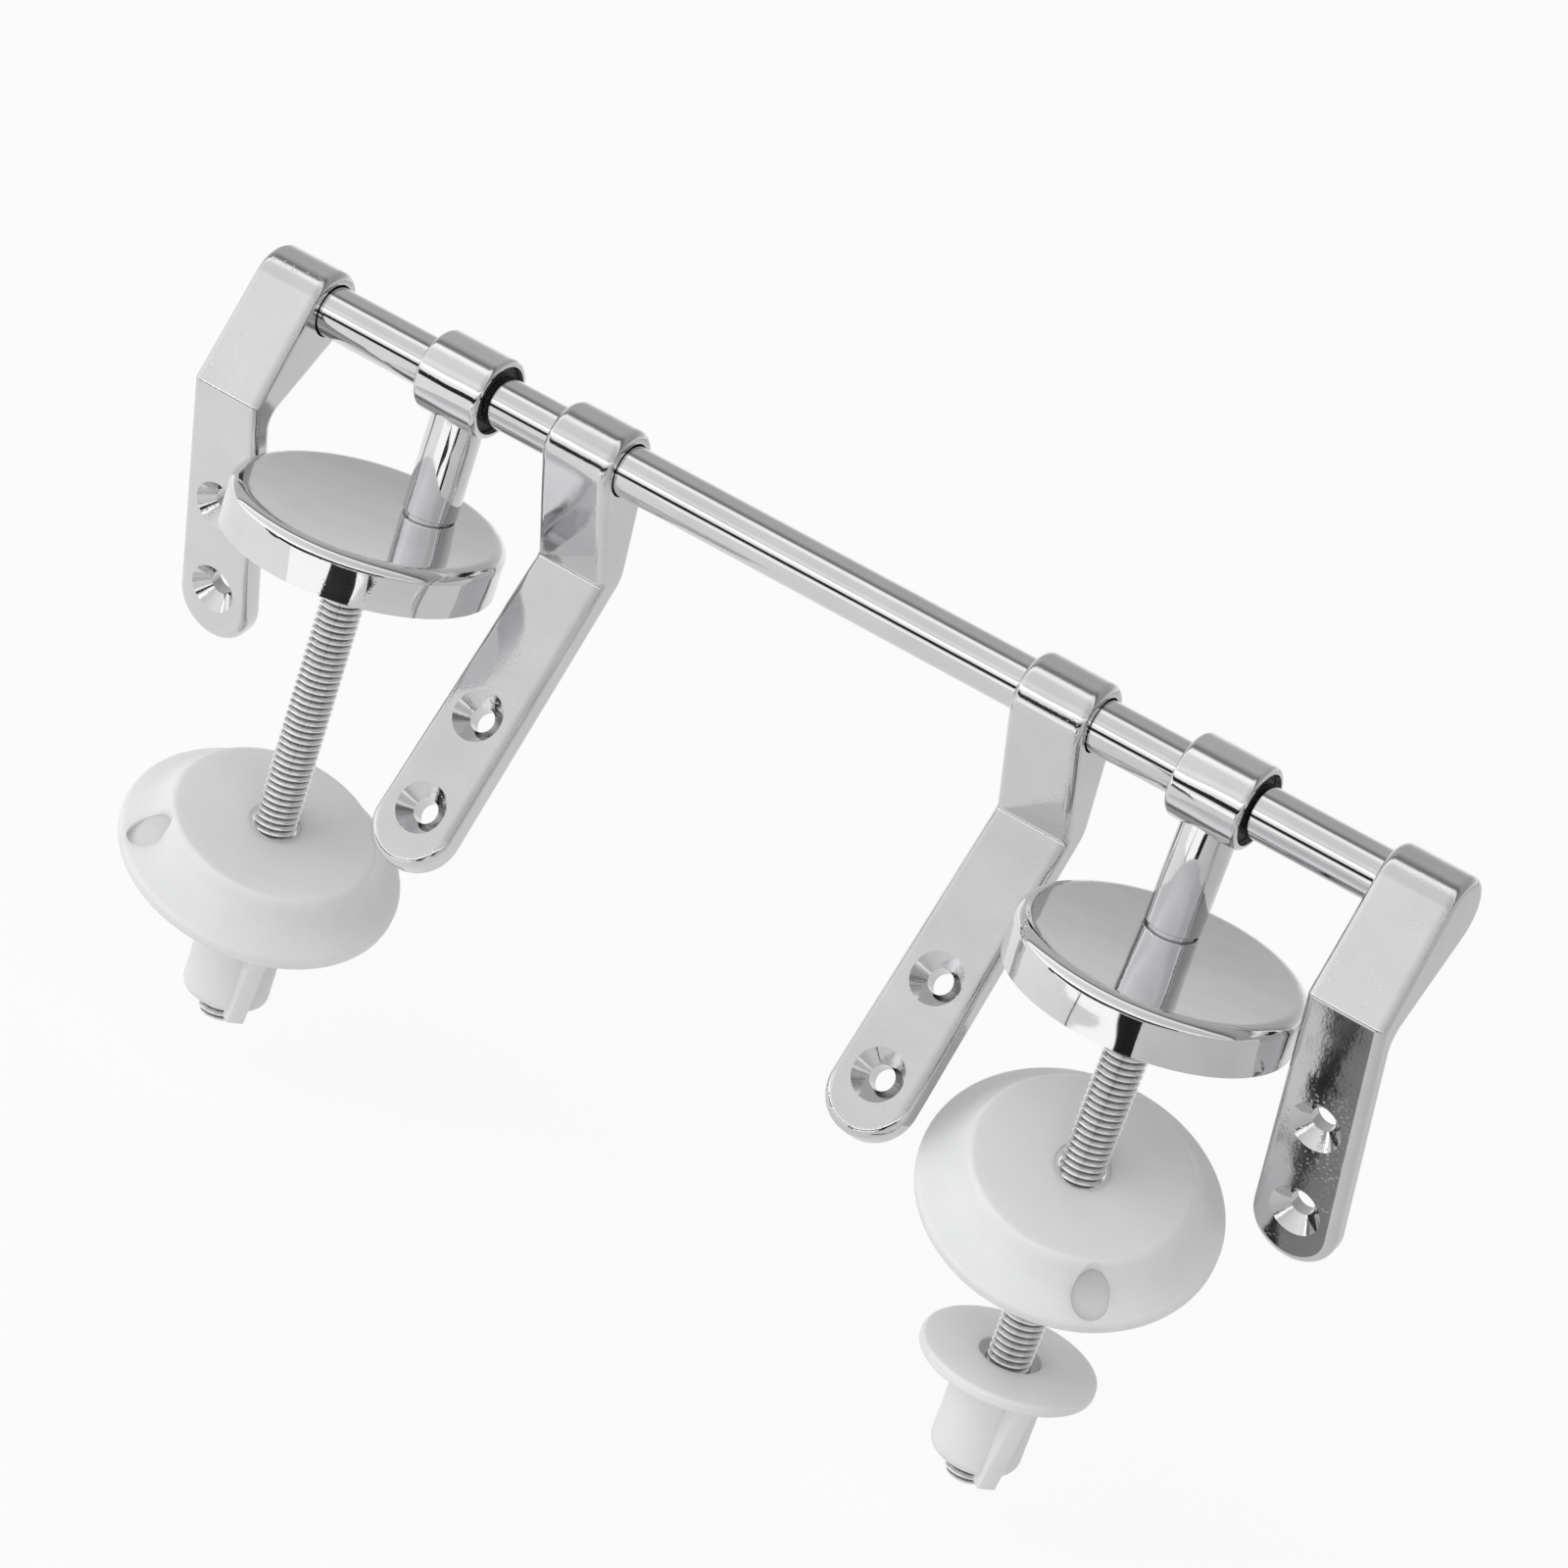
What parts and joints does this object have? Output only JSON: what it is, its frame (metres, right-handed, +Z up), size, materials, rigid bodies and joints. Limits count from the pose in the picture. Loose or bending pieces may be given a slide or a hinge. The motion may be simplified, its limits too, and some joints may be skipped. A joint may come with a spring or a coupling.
{
  "type": "toilet seat hinge",
  "caption": "Chromed bar hinge for a toilet seat and lid: eccentric base discs with pillars, cranked arms on a rod, pan bolts with cone washers and wing nuts.",
  "frame": {"origin": "on the pan face midway between the two pan bolts", "axes": "+X along the rod, +Z up from the pan, the rod lies to +Y of the bolts"},
  "size_m": [0.2506, 0.0533, 0.1353],
  "materials": {
    "chrome": "polished",
    "black_plastic": "satin",
    "zinc_steel": "bright zinc plated",
    "white_plastic": "satin, slightly translucent"
  },
  "bodies": {
    "pillar_left": {"pillar_left": "chrome", "pillar_bush_left": "black_plastic", "base_disc_left": "chrome", "pillar_screw_left": "zinc_steel", "pan_bolt_left": "zinc_steel"},
    "pillar_right": {"pillar_right": "chrome", "pillar_bush_right": "black_plastic", "base_disc_right": "chrome", "pillar_screw_right": "zinc_steel", "pan_bolt_right": "zinc_steel"},
    "rod": {"hinge_rod": "chrome"},
    "lid_arm_left": {"lid_arm_left": "chrome"},
    "lid_arm_right": {"lid_arm_right": "chrome"},
    "seat_arm_left": {"seat_arm_left": "chrome"},
    "seat_arm_right": {"seat_arm_right": "chrome"},
    "cone_washer_left": {"cone_washer_left": "white_plastic"},
    "wing_nut_left": {"wing_nut_left": "white_plastic"},
    "cone_washer_right": {"cone_washer_right": "white_plastic"},
    "wing_nut_right": {"wing_nut_right": "white_plastic"}
  },
  "joints": [
    {"name": "rod_spin", "type": "hinge", "parent": "pillar_left", "child": "rod", "pos_m": [0, 0.01155, 0.0335], "axis": [1, 0, 0], "continuous": true},
    {"name": "pillar_right_swing", "type": "hinge", "parent": "pillar_left", "child": "pillar_right", "pos_m": [0, 0.01155, 0.0335], "axis": [1, 0, 0], "continuous": true},
    {"name": "lid_arm_left_swing", "type": "hinge", "parent": "pillar_left", "child": "lid_arm_left", "pos_m": [0, 0.01155, 0.0335], "axis": [1, 0, 0], "continuous": true},
    {"name": "lid_arm_right_swing", "type": "hinge", "parent": "pillar_right", "child": "lid_arm_right", "pos_m": [0, 0.01155, 0.0335], "axis": [1, 0, 0], "continuous": true},
    {"name": "seat_arm_left_swing", "type": "hinge", "parent": "pillar_left", "child": "seat_arm_left", "pos_m": [0, 0.01155, 0.0335], "axis": [1, 0, 0], "continuous": true},
    {"name": "seat_arm_right_swing", "type": "hinge", "parent": "pillar_right", "child": "seat_arm_right", "pos_m": [0, 0.01155, 0.0335], "axis": [1, 0, 0], "continuous": true},
    {"name": "cone_washer_left_slide", "type": "slide", "parent": "pillar_left", "child": "cone_washer_left", "axis": [0, 0, 1], "range_m": [-0.001, 0.012]},
    {"name": "wing_nut_left_travel", "type": "slide", "parent": "pillar_left", "child": "wing_nut_left", "axis": [0, 0, 1], "range_m": [-0.01, 0.002]},
    {"name": "cone_washer_right_slide", "type": "slide", "parent": "pillar_right", "child": "cone_washer_right", "axis": [0, 0, 1], "range_m": [-0.012, 0.016]},
    {"name": "wing_nut_right_travel", "type": "slide", "parent": "pillar_right", "child": "wing_nut_right", "axis": [0, 0, 1], "range_m": [-0.01, 0.006]}
  ]
}
